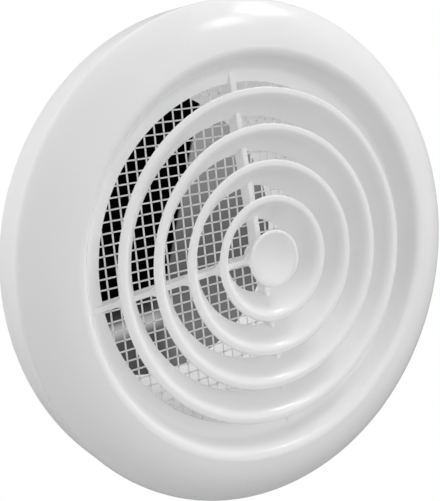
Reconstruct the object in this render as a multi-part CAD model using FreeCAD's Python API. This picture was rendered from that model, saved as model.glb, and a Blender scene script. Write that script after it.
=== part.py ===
import FreeCAD, Part
import math
import os

# A round vent cover for a standard ventilation duct: a moulded face with concentric rings, an insect
# screen behind it, and the collar that is screwed to the wall and reaches into the duct.
# The duct's axis is Y. The wall is the plane Y = 0, the face looks along -Y and the collar reaches to +Y.
# Heights are measured from the wall towards the room, along -Y. All lengths are in millimetres.

# Collar in the duct
DUCT_BORE = 125.0
DUCT_CLEARANCE = 1.0
SPIGOT_LENGTH = 70.0
SPIGOT_WALL = 1.6
SPIGOT_LEAD_IN = 0.8
FLANGE_THICKNESS = 2.4
FLANGE_SKIRT_GAP = 3.1
SCREW_HOLE_RADIUS = 2.25
SCREW_COUNT = 4
LEDGE_WIDTH = 3.4
LEDGE_THICKNESS = 1.5
LEDGE_HEIGHT = 6.5
MOUTH_DEPTH = 3.6

# Screen on the collar's ledge
SCREEN_THICKNESS = 0.65
SCREEN_SIDE_CLEARANCE = 0.4
STRAND_WIDTH = 1.2
STRAND_PITCH = 12.6

# Bezel of the face, from the register ring in the collar's mouth out to the skirt
REGISTER_CLEARANCE = 0.1
REGISTER_SCREEN_CLEARANCE = 0.05
REGISTER_WALL = 1.6
REGISTER_DEPTH = 3.4
FACE_WALL = 2.2
MOUTH_STOP_GAP = 0.4
THROAT_RIM_WIDTH = 3.3
THROAT_RIM_THICKNESS = 1.4
SILL_WIDTH = 4.1
SILL_RISE = 1.3
FUNNEL_WIDTH = 4.3
FUNNEL_DEPTH = 8.1
CREST_ROUND = 1.8
DOME_WIDTH = 14.9
DOME_DROP = 5.2
SHOULDER_WIDTH = 1.1
SHOULDER_DROP = 1.9
SKIRT_DRAFT = 0.7

# Rings, button and ribs of the face
RING_COUNT = 4
RING_THROAT_GAP = 1.8
RING_SETBACK = 0.9
RING_DEPTH = 10.1
RING_LEAN = 8.8
RING_LIP_WIDTH = 2.4
RING_FOOT_WIDTH = 1.7
BUTTON_RADIUS = 9.5
BUTTON_FOOT_RADIUS = 4.0
BUTTON_RIM_WIDTH = 1.3
BUTTON_DISH_DEPTH = 1.4
RIB_COUNT = 4
RIB_THICKNESS = 1.8
RIB_RING_LAP = 3.0
RIB_SCREEN_CLEARANCE = 0.15

# Radii that follow, from the duct outwards and from the throat inwards
spigot_radius = DUCT_BORE / 2 - DUCT_CLEARANCE
spigot_bore_radius = spigot_radius - SPIGOT_WALL
register_radius = spigot_bore_radius - REGISTER_CLEARANCE
register_bore_radius = register_radius - REGISTER_WALL
throat_radius = register_bore_radius - THROAT_RIM_WIDTH
funnel_foot_radius = throat_radius + SILL_WIDTH
crest_radius = funnel_foot_radius + FUNNEL_WIDTH
dome_edge_radius = crest_radius + DOME_WIDTH
skirt_top_radius = dome_edge_radius + SHOULDER_WIDTH
face_radius = skirt_top_radius + SKIRT_DRAFT
skirt_bore_radius = skirt_top_radius - FACE_WALL
flange_radius = skirt_bore_radius - FLANGE_SKIRT_GAP
first_lip_radius = throat_radius - RING_THROAT_GAP
ring_pitch = (first_lip_radius - BUTTON_RADIUS) / RING_COUNT

# Heights that follow, from the collar's ledge towards the room
screen_front = LEDGE_HEIGHT + SCREEN_THICKNESS
register_rear = screen_front + REGISTER_SCREEN_CLEARANCE
mouth_front = register_rear + MOUTH_DEPTH
throat_height = register_rear + REGISTER_DEPTH
funnel_foot_height = throat_height + SILL_RISE
crest_height = funnel_foot_height + FUNNEL_DEPTH
dome_edge_height = crest_height - DOME_DROP
skirt_top = dome_edge_height - SHOULDER_DROP
ring_front = crest_height - RING_SETBACK
ring_rear = ring_front - RING_DEPTH
rib_front = ring_rear + RIB_RING_LAP
rib_rear = screen_front + RIB_SCREEN_CLEARANCE

axis_point = FreeCAD.Vector(0, 0, 0)
axis_direction = FreeCAD.Vector(0, 1, 0)


def at(radius, height):
    """A point of a section: distance from the axis, and height above the wall."""
    return FreeCAD.Vector(radius, -height, 0)


def arc(centre, radius, start, end):
    """The short arc about a centre from one point to another."""
    middle = (start - centre + end - centre).normalize()
    return Part.Arc(start, centre + middle * radius, end).toShape()


def path(points):
    """Straight edges from each point to the next."""
    return [Part.LineSegment(start, end).toShape() for start, end in zip(points, points[1:])]


def turned(edges):
    """A solid turned about the duct's axis from the edges of a closed section."""
    section = Part.Face(Part.Wire(edges))
    return section.revolve(axis_point, axis_direction, 360)


def make_bezel():
    """Skirt, dome and funnel in one wall, a sill at the funnel's foot, and the register ring behind."""
    # The dome is an arc that is level at the crest and ends at the shoulder.
    crest = at(crest_radius, crest_height)
    dome_edge = at(dome_edge_radius, dome_edge_height)
    dome_radius = (DOME_WIDTH**2 + DOME_DROP**2) / (2 * DOME_DROP)
    dome_centre = at(crest_radius, crest_height - dome_radius)

    # The funnel is the straight line from its foot on the sill that touches the crest's round.
    crest_centre = at(crest_radius, crest_height - CREST_ROUND)
    rise_to_centre = FUNNEL_DEPTH - CREST_ROUND
    reach = math.hypot(FUNNEL_WIDTH, rise_to_centre)
    lean = math.atan2(FUNNEL_WIDTH, rise_to_centre) - math.asin(CREST_ROUND / reach)
    funnel_top = crest_centre - at(math.cos(lean), -math.sin(lean)) * CREST_ROUND

    # The hollow behind follows the funnel, the dome and the skirt at one wall's distance. A step over the
    # register ring stops in front of the collar's mouth.
    funnel_back_radius = funnel_foot_radius + FACE_WALL / math.cos(lean)
    stop_height = mouth_front + MOUTH_STOP_GAP
    stop_radius = funnel_back_radius + (stop_height - funnel_foot_height) * math.tan(lean)
    crest_back_radius = funnel_back_radius + (FUNNEL_DEPTH - FACE_WALL) * math.tan(lean)
    rim_rear = throat_height - THROAT_RIM_THICKNESS

    edges = [arc(dome_centre, dome_radius, dome_edge, crest)]
    edges.append(arc(crest_centre, CREST_ROUND, crest, funnel_top))
    edges += path([
        funnel_top,
        at(funnel_foot_radius, funnel_foot_height),
        at(throat_radius, throat_height),
        at(throat_radius, rim_rear),
        at(register_bore_radius, rim_rear),
        at(register_bore_radius, register_rear),
        at(register_radius, register_rear),
        at(register_radius, stop_height),
        at(stop_radius, stop_height),
        at(crest_back_radius, crest_height - FACE_WALL),
        at(skirt_bore_radius, skirt_top),
        at(skirt_bore_radius, 0),
        at(face_radius, 0),
        at(skirt_top_radius, skirt_top),
        dome_edge,
    ])
    return turned(edges)


def make_ring(lip_radius):
    """One cone ring: a flat lip, and a blade that leans in towards the duct."""
    lip_edge = at(lip_radius, ring_front)
    foot_bore_radius = lip_radius - RING_LEAN
    return turned(path([
        lip_edge,
        at(lip_radius - RING_LIP_WIDTH, ring_front),
        at(foot_bore_radius, ring_rear),
        at(foot_bore_radius + RING_FOOT_WIDTH, ring_rear),
        lip_edge,
    ]))


def make_button():
    """The centre button: a hollowed face with a rim, on a foot that tapers back to the ribs."""
    dish_edge = at(BUTTON_RADIUS - BUTTON_RIM_WIDTH, ring_front)
    dish_bottom = at(0, ring_front - BUTTON_DISH_DEPTH)
    dish_radius = (dish_edge.x**2 + BUTTON_DISH_DEPTH**2) / (2 * BUTTON_DISH_DEPTH)
    dish_centre = at(0, ring_front - BUTTON_DISH_DEPTH + dish_radius)
    edges = [arc(dish_centre, dish_radius, dish_bottom, dish_edge)]
    edges += path([
        dish_edge,
        at(BUTTON_RADIUS, ring_front),
        at(BUTTON_FOOT_RADIUS, ring_rear),
        at(BUTTON_FOOT_RADIUS, rib_rear),
        at(0, rib_rear),
        dish_bottom,
    ])
    return turned(edges)


def make_rib(angle):
    """A flat bar behind the rings, from the axis into the wall of the register ring."""
    length = register_radius - REGISTER_WALL / 4
    bar = Part.makeBox(length, rib_front - rib_rear, RIB_THICKNESS)
    bar.translate(FreeCAD.Vector(0, -rib_front, -RIB_THICKNESS / 2))
    bar.rotate(axis_point, axis_direction, angle)
    return bar


def make_face_grille():
    rings = [make_ring(first_lip_radius - i * ring_pitch) for i in range(RING_COUNT)]
    ribs = [make_rib(i * 360 / RIB_COUNT) for i in range(RIB_COUNT)]
    return make_bezel().multiFuse(rings + ribs + [make_button()]).removeSplitter()


def make_insect_screen():
    """Square netting in one wall: strands with open cells between them, and a rim on the ledge."""
    front = at(0, screen_front)
    rim_radius = spigot_bore_radius - SCREEN_SIDE_CLEARANCE
    open_radius = spigot_bore_radius - LEDGE_WIDTH
    disc = Part.makeCylinder(rim_radius, SCREEN_THICKNESS, front, axis_direction)
    window = Part.makeCylinder(open_radius, SCREEN_THICKNESS, front, axis_direction)
    side = STRAND_PITCH - STRAND_WIDTH
    reach = math.ceil(open_radius / STRAND_PITCH)
    cells = []
    for column in range(-reach, reach):
        for row in range(-reach, reach):
            corner = front + FreeCAD.Vector(column, 0, row) * STRAND_PITCH
            corner += FreeCAD.Vector(STRAND_WIDTH / 2, 0, STRAND_WIDTH / 2)
            cells.append(Part.makeBox(side, SCREEN_THICKNESS, side, corner))
    return disc.cut(Part.makeCompound(cells).common(window))


def make_mounting_collar():
    """The duct spigot with its mouth for the face, the screen's ledge and the flange on the wall."""
    ledge_radius = spigot_bore_radius - LEDGE_WIDTH
    mouth_edge = at(spigot_radius, mouth_front)
    collar = turned(path([
        mouth_edge,
        at(spigot_bore_radius, mouth_front),
        at(spigot_bore_radius, LEDGE_HEIGHT),
        at(ledge_radius, LEDGE_HEIGHT),
        at(ledge_radius, LEDGE_HEIGHT - LEDGE_THICKNESS),
        at(spigot_bore_radius, LEDGE_HEIGHT - LEDGE_THICKNESS),
        at(spigot_bore_radius, -SPIGOT_LENGTH),
        at(spigot_radius - SPIGOT_LEAD_IN, -SPIGOT_LENGTH),
        at(spigot_radius, SPIGOT_LEAD_IN - SPIGOT_LENGTH),
        at(spigot_radius, 0),
        at(flange_radius, 0),
        at(flange_radius, FLANGE_THICKNESS),
        at(spigot_radius, FLANGE_THICKNESS),
        mouth_edge,
    ]))
    screw_circle_radius = (spigot_radius + flange_radius) / 2
    first_hole = Part.makeCylinder(
        SCREW_HOLE_RADIUS, FLANGE_THICKNESS, at(screw_circle_radius, FLANGE_THICKNESS), axis_direction
    )
    holes = []
    for i in range(SCREW_COUNT):
        hole = first_hole.copy()
        hole.rotate(axis_point, axis_direction, (i + 0.5) * 360 / SCREW_COUNT)
        holes.append(hole)
    return collar.cut(Part.makeCompound(holes))


os.makedirs("parts", exist_ok=True)
make_face_grille().exportStep("parts/face_grille.step")
make_insect_screen().exportStep("parts/insect_screen.step")
make_mounting_collar().exportStep("parts/mounting_collar.step")
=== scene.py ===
import math
import random

import bmesh
import bpy
from mathutils import Matrix, Quaternion, Vector


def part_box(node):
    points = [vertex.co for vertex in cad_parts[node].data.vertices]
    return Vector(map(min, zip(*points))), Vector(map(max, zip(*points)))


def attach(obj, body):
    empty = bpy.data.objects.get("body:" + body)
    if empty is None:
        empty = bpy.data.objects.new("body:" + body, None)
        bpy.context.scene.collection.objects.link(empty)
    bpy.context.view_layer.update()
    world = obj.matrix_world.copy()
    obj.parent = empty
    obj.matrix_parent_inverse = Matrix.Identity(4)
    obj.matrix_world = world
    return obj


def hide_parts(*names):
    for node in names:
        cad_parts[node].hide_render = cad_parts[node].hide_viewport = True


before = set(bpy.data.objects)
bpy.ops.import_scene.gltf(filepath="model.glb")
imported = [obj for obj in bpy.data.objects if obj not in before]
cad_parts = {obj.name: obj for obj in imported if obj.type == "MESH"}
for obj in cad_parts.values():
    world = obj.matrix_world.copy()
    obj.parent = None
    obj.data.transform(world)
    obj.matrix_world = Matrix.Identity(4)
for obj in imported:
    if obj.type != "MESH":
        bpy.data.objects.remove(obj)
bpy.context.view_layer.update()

# Mounting collar
# The tube that reaches into the duct, with the flange that is screwed to the wall behind the face.
# Injection-moulded white ABS from a plainer tool than the face, so its surface is satin.
MM = 0.001

# Patterns in the moulded plastic, as widths in millimetres
FLOW_CLOUD = 26
HANDLING_MARK = 9
PEEL_GRAIN = 2.4
HANDLING_DULLING = 0.08


def hex_colour(code):
    """An sRGB hex colour as linear red, green, blue and alpha."""
    channels = [int(code[i:i + 2], 16) / 255 for i in (1, 3, 5)]
    return [c / 12.92 if c <= 0.04045 else ((c + 0.055) / 1.055) ** 2.4 for c in channels] + [1.0]


def pattern_scale(size_mm):
    """The scale of a texture in object coordinates whose features are about that many millimetres wide."""
    return 1 / (size_mm * MM)


def add_node(tree, kind, links=None, **settings):
    """Adds a node, sets its attributes, and sets or links the inputs that links names."""
    node = tree.nodes.new(kind)
    for name, value in settings.items():
        setattr(node, name, value)
    for name, value in (links or {}).items():
        if isinstance(value, bpy.types.NodeSocket):
            tree.links.new(value, node.inputs[name])
        else:
            node.inputs[name].default_value = value
    return node


def new_material(name):
    """An empty node material, its tree and its output node."""
    material = bpy.data.materials.new(name)
    material.use_nodes = True
    material.node_tree.nodes.clear()
    output = material.node_tree.nodes.new("ShaderNodeOutputMaterial")
    return material, material.node_tree, output


def moulded_abs(name, pale, deep, roughness, peel_height_mm):
    """White ABS from a steel mould: faint flow clouds, a gloss dulled by handling, and a fine orange peel."""
    material, tree, output = new_material(name)
    place = add_node(tree, "ShaderNodeTexCoord").outputs["Object"]
    clouds = add_node(tree, "ShaderNodeTexNoise", {
        "Vector": place, "Scale": pattern_scale(FLOW_CLOUD), "Detail": 3.0,
    })
    colour = add_node(tree, "ShaderNodeMix", {
        "Factor": clouds.outputs["Fac"], "A": hex_colour(pale), "B": hex_colour(deep),
    }, data_type="RGBA")
    handling = add_node(tree, "ShaderNodeTexNoise", {
        "Vector": place, "Scale": pattern_scale(HANDLING_MARK), "Detail": 6.0,
    })
    gloss = add_node(tree, "ShaderNodeMapRange", {
        "Value": handling.outputs["Fac"], "From Min": 0.35, "From Max": 0.7,
        "To Min": roughness, "To Max": roughness + HANDLING_DULLING,
    })
    peel = add_node(tree, "ShaderNodeTexNoise", {
        "Vector": place, "Scale": pattern_scale(PEEL_GRAIN), "Detail": 2.0,
    })
    bump = add_node(tree, "ShaderNodeBump", {
        "Height": peel.outputs["Fac"], "Strength": 1.0, "Distance": peel_height_mm * MM,
    })
    surface = add_node(tree, "ShaderNodeBsdfPrincipled", {
        "Base Color": colour.outputs["Result"], "Roughness": gloss.outputs["Result"],
        "Normal": bump.outputs["Normal"], "IOR": 1.54,
        "Subsurface Weight": 0.3, "Subsurface Radius": (1.0, 1.0, 1.0), "Subsurface Scale": 1.2 * MM,
    })
    tree.links.new(surface.outputs["BSDF"], output.inputs["Surface"])
    return material


# Satin ABS: an even white with a soft sheen and no clear reflections.
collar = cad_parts["mounting_collar"]
collar.data.materials.clear()
collar.data.materials.append(moulded_abs("satin_moulded_white_abs", "#efefef", "#ebebeb", 0.38, 0.004))

# Insect screen
# A disc of square netting, laid on the collar's ledge and held there by the face. Extruded white
# polyethylene: thin round strands, joined where they cross, a little out of line from handling.
STRAND_RADIUS = 0.26
STRAND_STEP = 3.0
STREAK_WIDTH = 4
# How far a strand's ends stray from its line, the share of that by which each step strays, and the share of
# the pitch by which a whole strand strays
STRAND_WANDER = 0.12
STRAND_KINK = 0.3
PITCH_SPREAD = 0.03
NET_SEED = 7
# Both sets of strands: lean in the disc, spacing, and how far the set stands off the middle
UPRIGHT_STRANDS = (math.radians(-5.75), 3.33, -1.2)
LEVEL_STRANDS = (math.radians(-93.7), 3.25, -0.3)

screen_low, screen_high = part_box("insect_screen")
screen_radius = screen_high.x / MM - STRAND_RADIUS
screen_height = (screen_low.y + screen_high.y) / 2 / MM


def new_piece(name, mesh, material, node):
    """A visual piece that stands for a CAD node."""
    piece = bpy.data.objects.new(name, mesh)
    bpy.context.scene.collection.objects.link(piece)
    piece.data.materials.append(material)
    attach(piece, "root")
    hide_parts(node)


def strand_points(offset, chance):
    """Points along one strand of the net at this distance from the middle, in the strand's own direction."""
    reach = math.sqrt(screen_radius**2 - offset**2)
    steps = max(2, round(2 * reach / STRAND_STEP))
    lean = chance.uniform(-STRAND_WANDER, STRAND_WANDER)
    for i in range(steps + 1):
        along = reach * (2 * i / steps - 1)
        kink = chance.uniform(-STRAND_KINK, STRAND_KINK) * STRAND_WANDER
        yield along, offset + lean * along / screen_radius + kink


net = bpy.data.curves.new("insect_net", "CURVE")
net.dimensions = "3D"
net.bevel_depth = STRAND_RADIUS * MM
net.bevel_resolution = 1
net.use_fill_caps = True
chance = random.Random(NET_SEED)
for lean, pitch, start in (UPRIGHT_STRANDS, LEVEL_STRANDS):
    strand_count = int(screen_radius / pitch) + 1
    for i in range(-strand_count, strand_count + 1):
        offset = start + (i + chance.uniform(-PITCH_SPREAD, PITCH_SPREAD)) * pitch
        if abs(offset) > screen_radius - pitch / 2:
            continue
        points = list(strand_points(offset, chance))
        spline = net.splines.new("POLY")
        spline.points.add(len(points) - 1)
        for point, (along, aside) in zip(spline.points, points):
            x = aside * math.cos(lean) - along * math.sin(lean)
            z = aside * math.sin(lean) + along * math.cos(lean)
            point.co = (x * MM, screen_height * MM, z * MM, 1)
net_curve = bpy.data.objects.new("insect_net_curve", net)
bpy.context.scene.collection.objects.link(net_curve)
net_mesh = bpy.data.meshes.new_from_object(net_curve.evaluated_get(bpy.context.evaluated_depsgraph_get()))
bpy.data.objects.remove(net_curve)
net_mesh.shade_smooth()

# Extruded polyethylene: a soft waxy white with faint streaks of the extrusion.
netting, tree, output = new_material("extruded_white_polyethylene")
place = add_node(tree, "ShaderNodeTexCoord").outputs["Object"]
streaks = add_node(tree, "ShaderNodeTexNoise", {
    "Vector": place, "Scale": pattern_scale(STREAK_WIDTH), "Detail": 4.0,
})
colour = add_node(tree, "ShaderNodeMix", {
    "Factor": streaks.outputs["Fac"], "A": hex_colour("#f8f8f8"), "B": hex_colour("#f1f1f1"),
}, data_type="RGBA")
surface = add_node(tree, "ShaderNodeBsdfPrincipled", {
    "Base Color": colour.outputs["Result"], "Roughness": 0.45, "IOR": 1.51,
    "Subsurface Weight": 1.0, "Subsurface Radius": (1.0, 1.0, 1.0), "Subsurface Scale": 1.5 * MM,
})
tree.links.new(surface.outputs["BSDF"], output.inputs["Surface"])
new_piece("insect_net", net_mesh, netting, "insect_screen")

# Face grille
# The moulding that shows: skirt, domed bezel, funnel, four cone rings, centre button and the cross of ribs
# behind them. One shot of white ABS in a polished mould, with a soft round on every edge. It pushes into the
# collar's mouth.
TURN_STEPS = 256
ARC_STEP = math.radians(9)
SHARP_EDGE = math.radians(35)
MERGE_DISTANCE = 1e-7

# Corners of the turned sections: radius, height above the wall, and the round on that corner
BEZEL = [
    (77.1, 0.0, 0.3), (80.0, 0.0, 0.5), (79.25, 14.0, 2.6), (71.66, 20.0, 21.9), (62.2, 20.0, 2.8),
    (59.0, 11.9, 3.0), (54.9, 10.6, 0.5), (54.9, 9.2, 0.4), (58.2, 9.2, 0.0), (58.2, 7.2, 0.2),
    (59.8, 7.2, 0.2), (59.8, 11.2, 0.0), (61.09, 11.2, 0.3), (63.57, 17.8, 1.0), (77.1, 12.9, 1.0),
]
RING_FRONT = 19.1
RING_REAR = 9.0
RING_LIP_RADII = [53.1, 42.2, 31.3, 20.4]
# The lip's edges: distance inward from the lip radius, height above the wall, and the round on that edge
RING_LIP = [(0.0, RING_FRONT, 0.5), (2.45, RING_FRONT, 1.5), (3.74, 18.02, 6.0)]
RING_LEAN = 8.8
RING_FOOT_WIDTH = 1.7
RING_FOOT_ROUND = 0.3
BUTTON = [
    (0.0, 17.7, 0.0), (4.3, 17.7, 22.0), (8.05, 19.1, 1.2), (9.5, 19.1, 0.5), (4.0, 9.0, 1.0),
    (4.0, 7.3, 0.0), (0.0, 7.3, 0.0),
]
RIB_COUNT = 4
RIB_HALF_THICKNESS = 0.9
RIB_FRONT = 12.0
RIB_REAR = 7.3
RIB_EDGE_ROUND = 0.35
RIB_START = 2.0
RIB_END = 59.4
# Webs: the rounded corners between the ribs and the rings or button. They lap into both, and end just short
# of the ribs' front and the rings' rear.
RING_WEB_ROUND = 4.0
BUTTON_WEB_ROUND = 1.8
WEB_FRONT = 11.6
WEB_REAR = 9.2
WEB_LAP = 0.4
WEB_SINK = 0.02
WEB_STEPS = 6
# The button's wall where its webs end, as radius and height
BUTTON_WALL = [(5.6, WEB_FRONT), (4.0, WEB_REAR)]


def rounded(corners, closed):
    """Points of an outline through the corners, with an arc on each corner that has a round."""
    points = []
    for i, (x, y, radius) in enumerate(corners):
        corner = Vector((x, y))
        if radius == 0 or not closed and i in (0, len(corners) - 1):
            points.append(corner)
            continue
        back = (Vector(corners[i - 1][:2]) - corner).normalized()
        ahead = (Vector(corners[(i + 1) % len(corners)][:2]) - corner).normalized()
        half_angle = back.angle(ahead) / 2
        setback = radius / math.tan(half_angle)
        centre = corner + (back + ahead).normalized() * (radius / math.sin(half_angle))
        start = corner + back * setback - centre
        sweep = start.angle_signed(corner + ahead * setback - centre)
        steps = max(2, math.ceil(abs(sweep) / ARC_STEP))
        for step in range(steps + 1):
            turned_start = start.copy()
            turned_start.rotate(Matrix.Rotation(-sweep * step / steps, 2))
            points.append(centre + turned_start)
    return points


def add_turned(bm, corners, closed=True):
    """Adds a solid turned about the duct's axis."""
    angles = [2 * math.pi * i / TURN_STEPS for i in range(TURN_STEPS)]
    hoops = []
    for radius, height in rounded(corners, closed):
        hoops.append([
            bm.verts.new((radius * math.cos(a) * MM, -height * MM, radius * math.sin(a) * MM)) for a in angles
        ])
    following = hoops[1:] + hoops[:1] if closed else hoops[1:]
    for hoop, neighbour in zip(hoops, following):
        for i in range(TURN_STEPS):
            j = (i + 1) % TURN_STEPS
            bm.faces.new((hoop[i], hoop[j], neighbour[j], neighbour[i]))


def rib_point(angle, along, aside, height):
    """A point on a rib: distance along it from the axis, distance to its side, and height above the wall."""
    x = along * math.cos(angle) - aside * math.sin(angle)
    z = along * math.sin(angle) + aside * math.cos(angle)
    return x * MM, -height * MM, z * MM


def add_prism(bm, first_end, second_end):
    """Adds a closed prism between two outlines with equal numbers of points."""
    first = [bm.verts.new(p) for p in first_end]
    second = [bm.verts.new(p) for p in second_end]
    bm.faces.new(first)
    bm.faces.new(second)
    for i in range(len(first)):
        j = (i + 1) % len(first)
        bm.faces.new((first[i], first[j], second[j], second[i]))


def add_web(bm, angle, side, wall, web_round):
    """Adds the web between a rib's side and a wall, which is given as radius and height at both ends."""
    ends = []
    for radius, height in wall:
        outline = [(-WEB_LAP, -WEB_LAP), (web_round, -WEB_LAP)]
        for i in range(WEB_STEPS + 1):
            turn = i / WEB_STEPS * math.pi / 2
            away = web_round * (1 - math.sin(turn)) - WEB_SINK
            aside = web_round * (1 - math.cos(turn)) - WEB_SINK
            outline.append((away, aside))
        outline.append((-WEB_LAP, web_round))
        points = []
        for away, aside in outline:
            aside += RIB_HALF_THICKNESS
            along = math.sqrt(radius**2 - aside**2) + away
            points.append(rib_point(angle, along, side * aside, height))
        ends.append(points)
    add_prism(bm, *ends)


def new_shells(name, bm):
    """An object with the closed shells in a bmesh, which is used up."""
    bmesh.ops.remove_doubles(bm, verts=bm.verts, dist=MERGE_DISTANCE)
    bmesh.ops.recalc_face_normals(bm, faces=bm.faces)
    shells = bpy.data.objects.new(name, bpy.data.meshes.new(name))
    bm.to_mesh(shells.data)
    bm.free()
    bpy.context.scene.collection.objects.link(shells)
    return shells


bm = bmesh.new()
add_turned(bm, BEZEL)
add_turned(bm, BUTTON, closed=False)
for lip in RING_LIP_RADII:
    foot = lip - RING_LEAN
    add_turned(bm, [(lip - inward, height, edge_round) for inward, height, edge_round in RING_LIP] + [
        (foot, RING_REAR, RING_FOOT_ROUND), (foot + RING_FOOT_WIDTH, RING_REAR, RING_FOOT_ROUND),
    ])
turned = new_shells("turned_shells", bm)
rib_section = rounded([
    (-RIB_HALF_THICKNESS, RIB_FRONT, RIB_EDGE_ROUND), (RIB_HALF_THICKNESS, RIB_FRONT, RIB_EDGE_ROUND),
    (RIB_HALF_THICKNESS, RIB_REAR, 0.0), (-RIB_HALF_THICKNESS, RIB_REAR, 0.0),
], closed=True)
# How far up a ring's wall the ribs reach, as a share of its height
rib_rise = (RIB_FRONT - RING_REAR) / (RING_FRONT - RING_REAR)
ribs_bm = bmesh.new()
webs_bm = bmesh.new()
for rib in range(RIB_COUNT):
    angle = 2 * math.pi * rib / RIB_COUNT
    ends = [[rib_point(angle, end, x, h) for x, h in rib_section] for end in (RIB_START, RIB_END)]
    add_prism(ribs_bm, *ends)
    for side in (-1, 1):
        for lip in RING_LIP_RADII:
            outer_foot = lip - RING_LEAN + RING_FOOT_WIDTH
            outer_front = outer_foot + (RING_LEAN - RING_FOOT_WIDTH) * rib_rise
            ring_wall = [(outer_front, WEB_FRONT), (outer_foot, WEB_REAR)]
            add_web(webs_bm, angle, side, ring_wall, RING_WEB_ROUND)
        add_web(webs_bm, angle, side, BUTTON_WALL, BUTTON_WEB_ROUND)
joined = [new_shells("rib_shells", ribs_bm), new_shells("web_shells", webs_bm)]
for shells in joined:
    weld = turned.modifiers.new("weld", "BOOLEAN")
    weld.operation = "UNION"
    weld.solver = "MANIFOLD"
    weld.object = shells
face_mesh = bpy.data.meshes.new_from_object(turned.evaluated_get(bpy.context.evaluated_depsgraph_get()))
for shells in [turned] + joined:
    bpy.data.objects.remove(shells)
face_mesh.materials.clear()
face_mesh.shade_smooth()
face_mesh.set_sharp_from_angle(angle=SHARP_EDGE)

# Gloss ABS: a bright white skin that mirrors the lamps, barely broken by the orange peel.
gloss_abs = moulded_abs("gloss_moulded_white_abs", "#f7f7f7", "#f3f3f3", 0.16, 0.003)
new_piece("face_moulding", face_mesh, gloss_abs, "face_grille")

# Studio
# A plain pale floor and a white surround, soft lights round the object, and a glowing card of painted shade
# and painted light in the far end of the tube in place of an unlit duct. The card shows only from the room's
# side.
FLOOR_HEIGHT = -350
FLOOR_REACH = 6000

floor = bpy.data.objects.new("floor", bpy.data.meshes.new("floor"))
bm = bmesh.new()
bmesh.ops.create_grid(bm, x_segments=1, y_segments=1, size=FLOOR_REACH * MM)
bm.to_mesh(floor.data)
bm.free()
floor.location.z = FLOOR_HEIGHT * MM
bpy.context.scene.collection.objects.link(floor)
# White paper, lit evenly: no shade and no edge shows on it.
paper, tree, output = new_material("white_paper_floor")
glow = add_node(tree, "ShaderNodeEmission", {"Color": hex_colour("#ffffff"), "Strength": 1.0})
tree.links.new(glow.outputs["Emission"], output.inputs["Surface"])
floor.data.materials.append(paper)
floor.visible_diffuse = False
floor.visible_glossy = False
floor.visible_shadow = False

# Card of painted shade in the far end of the tube: painted black shade on the left, with a slanted edge, and
# painted grey shade on the right, paler upwards as painted light, with a painted pale strip of light low on
# the left. It faces the room, and from behind it can't be seen.
CARD_RADIUS = 59.7
CARD_STEPS = 96
CARD_PLACE = 69.0
SHADE_REACH = 60
BLACK_EDGE_SLANT = 0.45
BLACK_EDGE_MIDDLE = 11.7
BLACK_EDGE_BLUR = 0.6
BLACK_FOOT = -23.0
BLACK_FOOT_BLUR = 1
STRIP_END = 2
STRIP_FULL = -8

card = bpy.data.objects.new("duct_shade", bpy.data.meshes.new("duct_shade"))
bm = bmesh.new()
rim = [2 * math.pi * i / CARD_STEPS for i in range(CARD_STEPS)]
bm.faces.new([bm.verts.new((CARD_RADIUS * math.cos(a) * MM, 0, CARD_RADIUS * math.sin(a) * MM)) for a in rim])
bm.to_mesh(card.data)
bm.free()
card.location.y = CARD_PLACE * MM
bpy.context.scene.collection.objects.link(card)
# Card that gives off its own dim greys, glowing though it is no lamp: painted shade and painted light of an
# unlit duct, since no light of the studio reaches it.
shade, tree, output = new_material("painted_shade_duct_card")
place = add_node(tree, "ShaderNodeTexCoord").outputs["Object"]
axes = add_node(tree, "ShaderNodeSeparateXYZ", {"Vector": place})
rise = add_node(tree, "ShaderNodeMapRange", {
    "Value": axes.outputs["Z"], "From Min": -SHADE_REACH * MM, "From Max": SHADE_REACH * MM,
})


def add_stops(ramp, stops):
    """Gives a colour ramp its stops: height on the card in millimetres, and colour."""
    elements = ramp.color_ramp.elements
    elements.remove(elements[0])
    for i, (height, code) in enumerate(stops):
        position = (height + SHADE_REACH) / (2 * SHADE_REACH)
        element = elements.new(position) if i else elements[0]
        element.position = position
        element.color = hex_colour(code)


# Painted shade and painted light: dim grey of the duct's wall in shade, paler upwards, and a pale strip of
# painted light low on the left.
grey = add_node(tree, "ShaderNodeValToRGB", {"Fac": rise.outputs["Result"]})
add_stops(grey, [(-45, "#707070"), (-20, "#5a5a5a"), (0, "#646464"), (12, "#7a7a7a"), (34, "#909090")])
strip = add_node(tree, "ShaderNodeValToRGB", {"Fac": rise.outputs["Result"]})
add_stops(strip, [
    (-40.5, "#484848"), (-36, "#b0b0b0"), (-33.5, "#a0a0a0"), (-31, "#404040"), (-28, "#2a2a2a"),
])
leftward = add_node(tree, "ShaderNodeMapRange", {
    "Value": axes.outputs["X"], "From Min": STRIP_END * MM, "From Max": STRIP_FULL * MM,
})
low = add_node(tree, "ShaderNodeMapRange", {
    "Value": axes.outputs["Z"],
    "From Min": (BLACK_FOOT + BLACK_FOOT_BLUR) * MM, "From Max": (BLACK_FOOT - BLACK_FOOT_BLUR) * MM,
})
low_left = add_node(tree, "ShaderNodeMath", {
    0: leftward.outputs["Result"], 1: low.outputs["Result"],
}, operation="MULTIPLY")
lit = add_node(tree, "ShaderNodeMix", {
    "Factor": low_left.outputs[0], "A": grey.outputs["Color"], "B": strip.outputs["Color"],
}, data_type="RGBA")
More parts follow.
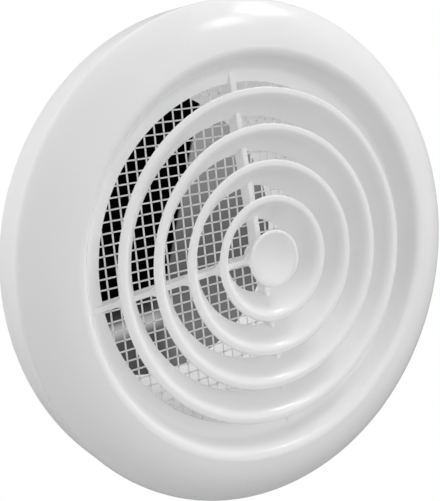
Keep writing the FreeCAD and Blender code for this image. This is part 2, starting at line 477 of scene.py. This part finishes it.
# Painted shade: black left of the slanted edge and above the foot, where the duct lies in shadow.
edge = add_node(tree, "ShaderNodeMath", {
    0: axes.outputs["Z"], 1: BLACK_EDGE_SLANT, 2: BLACK_EDGE_MIDDLE * MM,
}, operation="MULTIPLY_ADD")
beside = add_node(tree, "ShaderNodeMath", {0: edge.outputs[0], 1: axes.outputs["X"]}, operation="SUBTRACT")
left = add_node(tree, "ShaderNodeMapRange", {
    "Value": beside.outputs[0], "From Min": -BLACK_EDGE_BLUR * MM, "From Max": BLACK_EDGE_BLUR * MM,
})
high = add_node(tree, "ShaderNodeMapRange", {
    "Value": axes.outputs["Z"],
    "From Min": (BLACK_FOOT - BLACK_FOOT_BLUR) * MM, "From Max": (BLACK_FOOT + BLACK_FOOT_BLUR) * MM,
})
black = add_node(tree, "ShaderNodeMath", {
    0: left.outputs["Result"], 1: high.outputs["Result"],
}, operation="MULTIPLY")
look = add_node(tree, "ShaderNodeMix", {
    "Factor": black.outputs[0], "A": lit.outputs["Result"], "B": hex_colour("#020202"),
}, data_type="RGBA")
glow = add_node(tree, "ShaderNodeEmission", {"Color": look.outputs["Result"], "Strength": 1.0})
clear = add_node(tree, "ShaderNodeBsdfTransparent")
behind = add_node(tree, "ShaderNodeNewGeometry").outputs["Backfacing"]
one_sided = add_node(tree, "ShaderNodeMixShader", {
    0: behind, 1: glow.outputs["Emission"], 2: clear.outputs["BSDF"],
})
tree.links.new(one_sided.outputs["Shader"], output.inputs["Surface"])
card.data.materials.append(shade)
card.visible_diffuse = False
card.visible_glossy = False
card.visible_transmission = False
card.visible_shadow = False

# Walls of the light tent round the object: the way to each wall, and its brightness
TENT_WALLS = [
    ((1, 0, 0), 0.32), ((-1, 0, 0), 0.27), ((0, 1, 0), 0.38),
    ((0, -1, 0), 0.32), ((0, 0, 1), 0.32), ((0, 0, -1), 0.25),
]

world = bpy.data.worlds.new("white_studio")
bpy.context.scene.world = world
world.use_nodes = True
tree = world.node_tree
tree.nodes.clear()
seen = add_node(tree, "ShaderNodeLightPath").outputs["Is Camera Ray"]
direction = add_node(tree, "ShaderNodeTexCoord").outputs["Generated"]
tent = None
for wall, brightness in TENT_WALLS:
    facing = add_node(tree, "ShaderNodeVectorMath", {0: direction, 1: wall}, operation="DOT_PRODUCT")
    towards = add_node(tree, "ShaderNodeMath", {0: facing.outputs["Value"], 1: 0.0}, operation="MAXIMUM")
    spread = add_node(tree, "ShaderNodeMath", {0: towards.outputs[0], 1: 2.0}, operation="POWER")
    glow = add_node(tree, "ShaderNodeMath", {0: spread.outputs[0], 1: brightness}, operation="MULTIPLY")
    if tent:
        glow = add_node(tree, "ShaderNodeMath", {0: glow.outputs[0], 1: tent.outputs[0]}, operation="ADD")
    tent = glow
fill = add_node(tree, "ShaderNodeBackground", {"Color": hex_colour("#ffffff"), "Strength": tent.outputs[0]})
white = add_node(tree, "ShaderNodeBackground", {"Color": hex_colour("#ffffff"), "Strength": 1.0})
both = add_node(tree, "ShaderNodeMixShader", {0: seen, 1: fill.outputs[0], 2: white.outputs[0]})
add_node(tree, "ShaderNodeOutputWorld", {"Surface": both.outputs[0]})


def add_softbox(name, place_mm, size_mm, watts, aim_mm=(0, 0, 0), shadow=True, mirrored=False):
    """A square soft light at a place, aimed at a point. Only a mirrored one shows in the plastic's gloss."""
    light = bpy.data.lights.new(name, "AREA")
    light.size = size_mm * MM
    light.energy = watts
    light.use_shadow = shadow
    box = bpy.data.objects.new(name, light)
    box.location = Vector(place_mm) * MM
    box.rotation_euler = (Vector(aim_mm) - Vector(place_mm)).to_track_quat("-Z", "Y").to_euler()
    box.visible_glossy = mirrored
    bpy.context.scene.collection.objects.link(box)


# Fills without shadows, the soft lights that shade the face, two small lamps for its highlights, and the
# lights over the back
add_softbox("left_fill", (-645, 20, 140), 500, 1.65, shadow=False)
add_softbox("right_fill", (560, 380, 18), 500, 0.65, shadow=False)
add_softbox("low_fill", (60, 420, -420), 500, 0.65, shadow=False)
add_softbox("front_fill", (290, -630, 80), 500, 1.4, shadow=False)
add_softbox("right_softbox", (290, -630, 80), 350, 0.8)
add_softbox("key_softbox", (372, -165, 573), 400, 1.25)
add_softbox("upper_lamp", (437, -171, 519), 130, 0.5, mirrored=True)
add_softbox("lower_lamp", (329, -378, 490), 110, 0.25, mirrored=True)
add_softbox("top_softbox", (0, 200, 600), 300, 0.55)
add_softbox("back_top_softbox", (60, 480, 450), 300, 0.4, aim_mm=(0, 40, -40))
add_softbox("back_left_softbox", (-380, 380, 450), 350, 1.4)

# Camera at the photograph's angle: close, left of the face and a little above it, and rolled
CAMERA_LENS = 50.27
CAMERA_NEAR_CLIP = 10
CAMERA_PLACE = Vector((-118.5, -194.7, 54.6))
CAMERA_AIM = Vector((-19.0, -19.1, 8.0))
CAMERA_ROLL = math.radians(-10.3)

camera_data = bpy.data.cameras.new("camera")
camera_data.lens = CAMERA_LENS
camera_data.clip_start = CAMERA_NEAR_CLIP * MM
camera = bpy.data.objects.new("camera", camera_data)
camera.location = CAMERA_PLACE * MM
camera.rotation_mode = "QUATERNION"
straight = (CAMERA_AIM - CAMERA_PLACE).to_track_quat("-Z", "Y")
camera.rotation_quaternion = straight @ Quaternion((0, 0, 1), CAMERA_ROLL)
bpy.context.scene.collection.objects.link(camera)
bpy.context.scene.camera = camera
bpy.context.scene.view_settings.view_transform = "Standard"
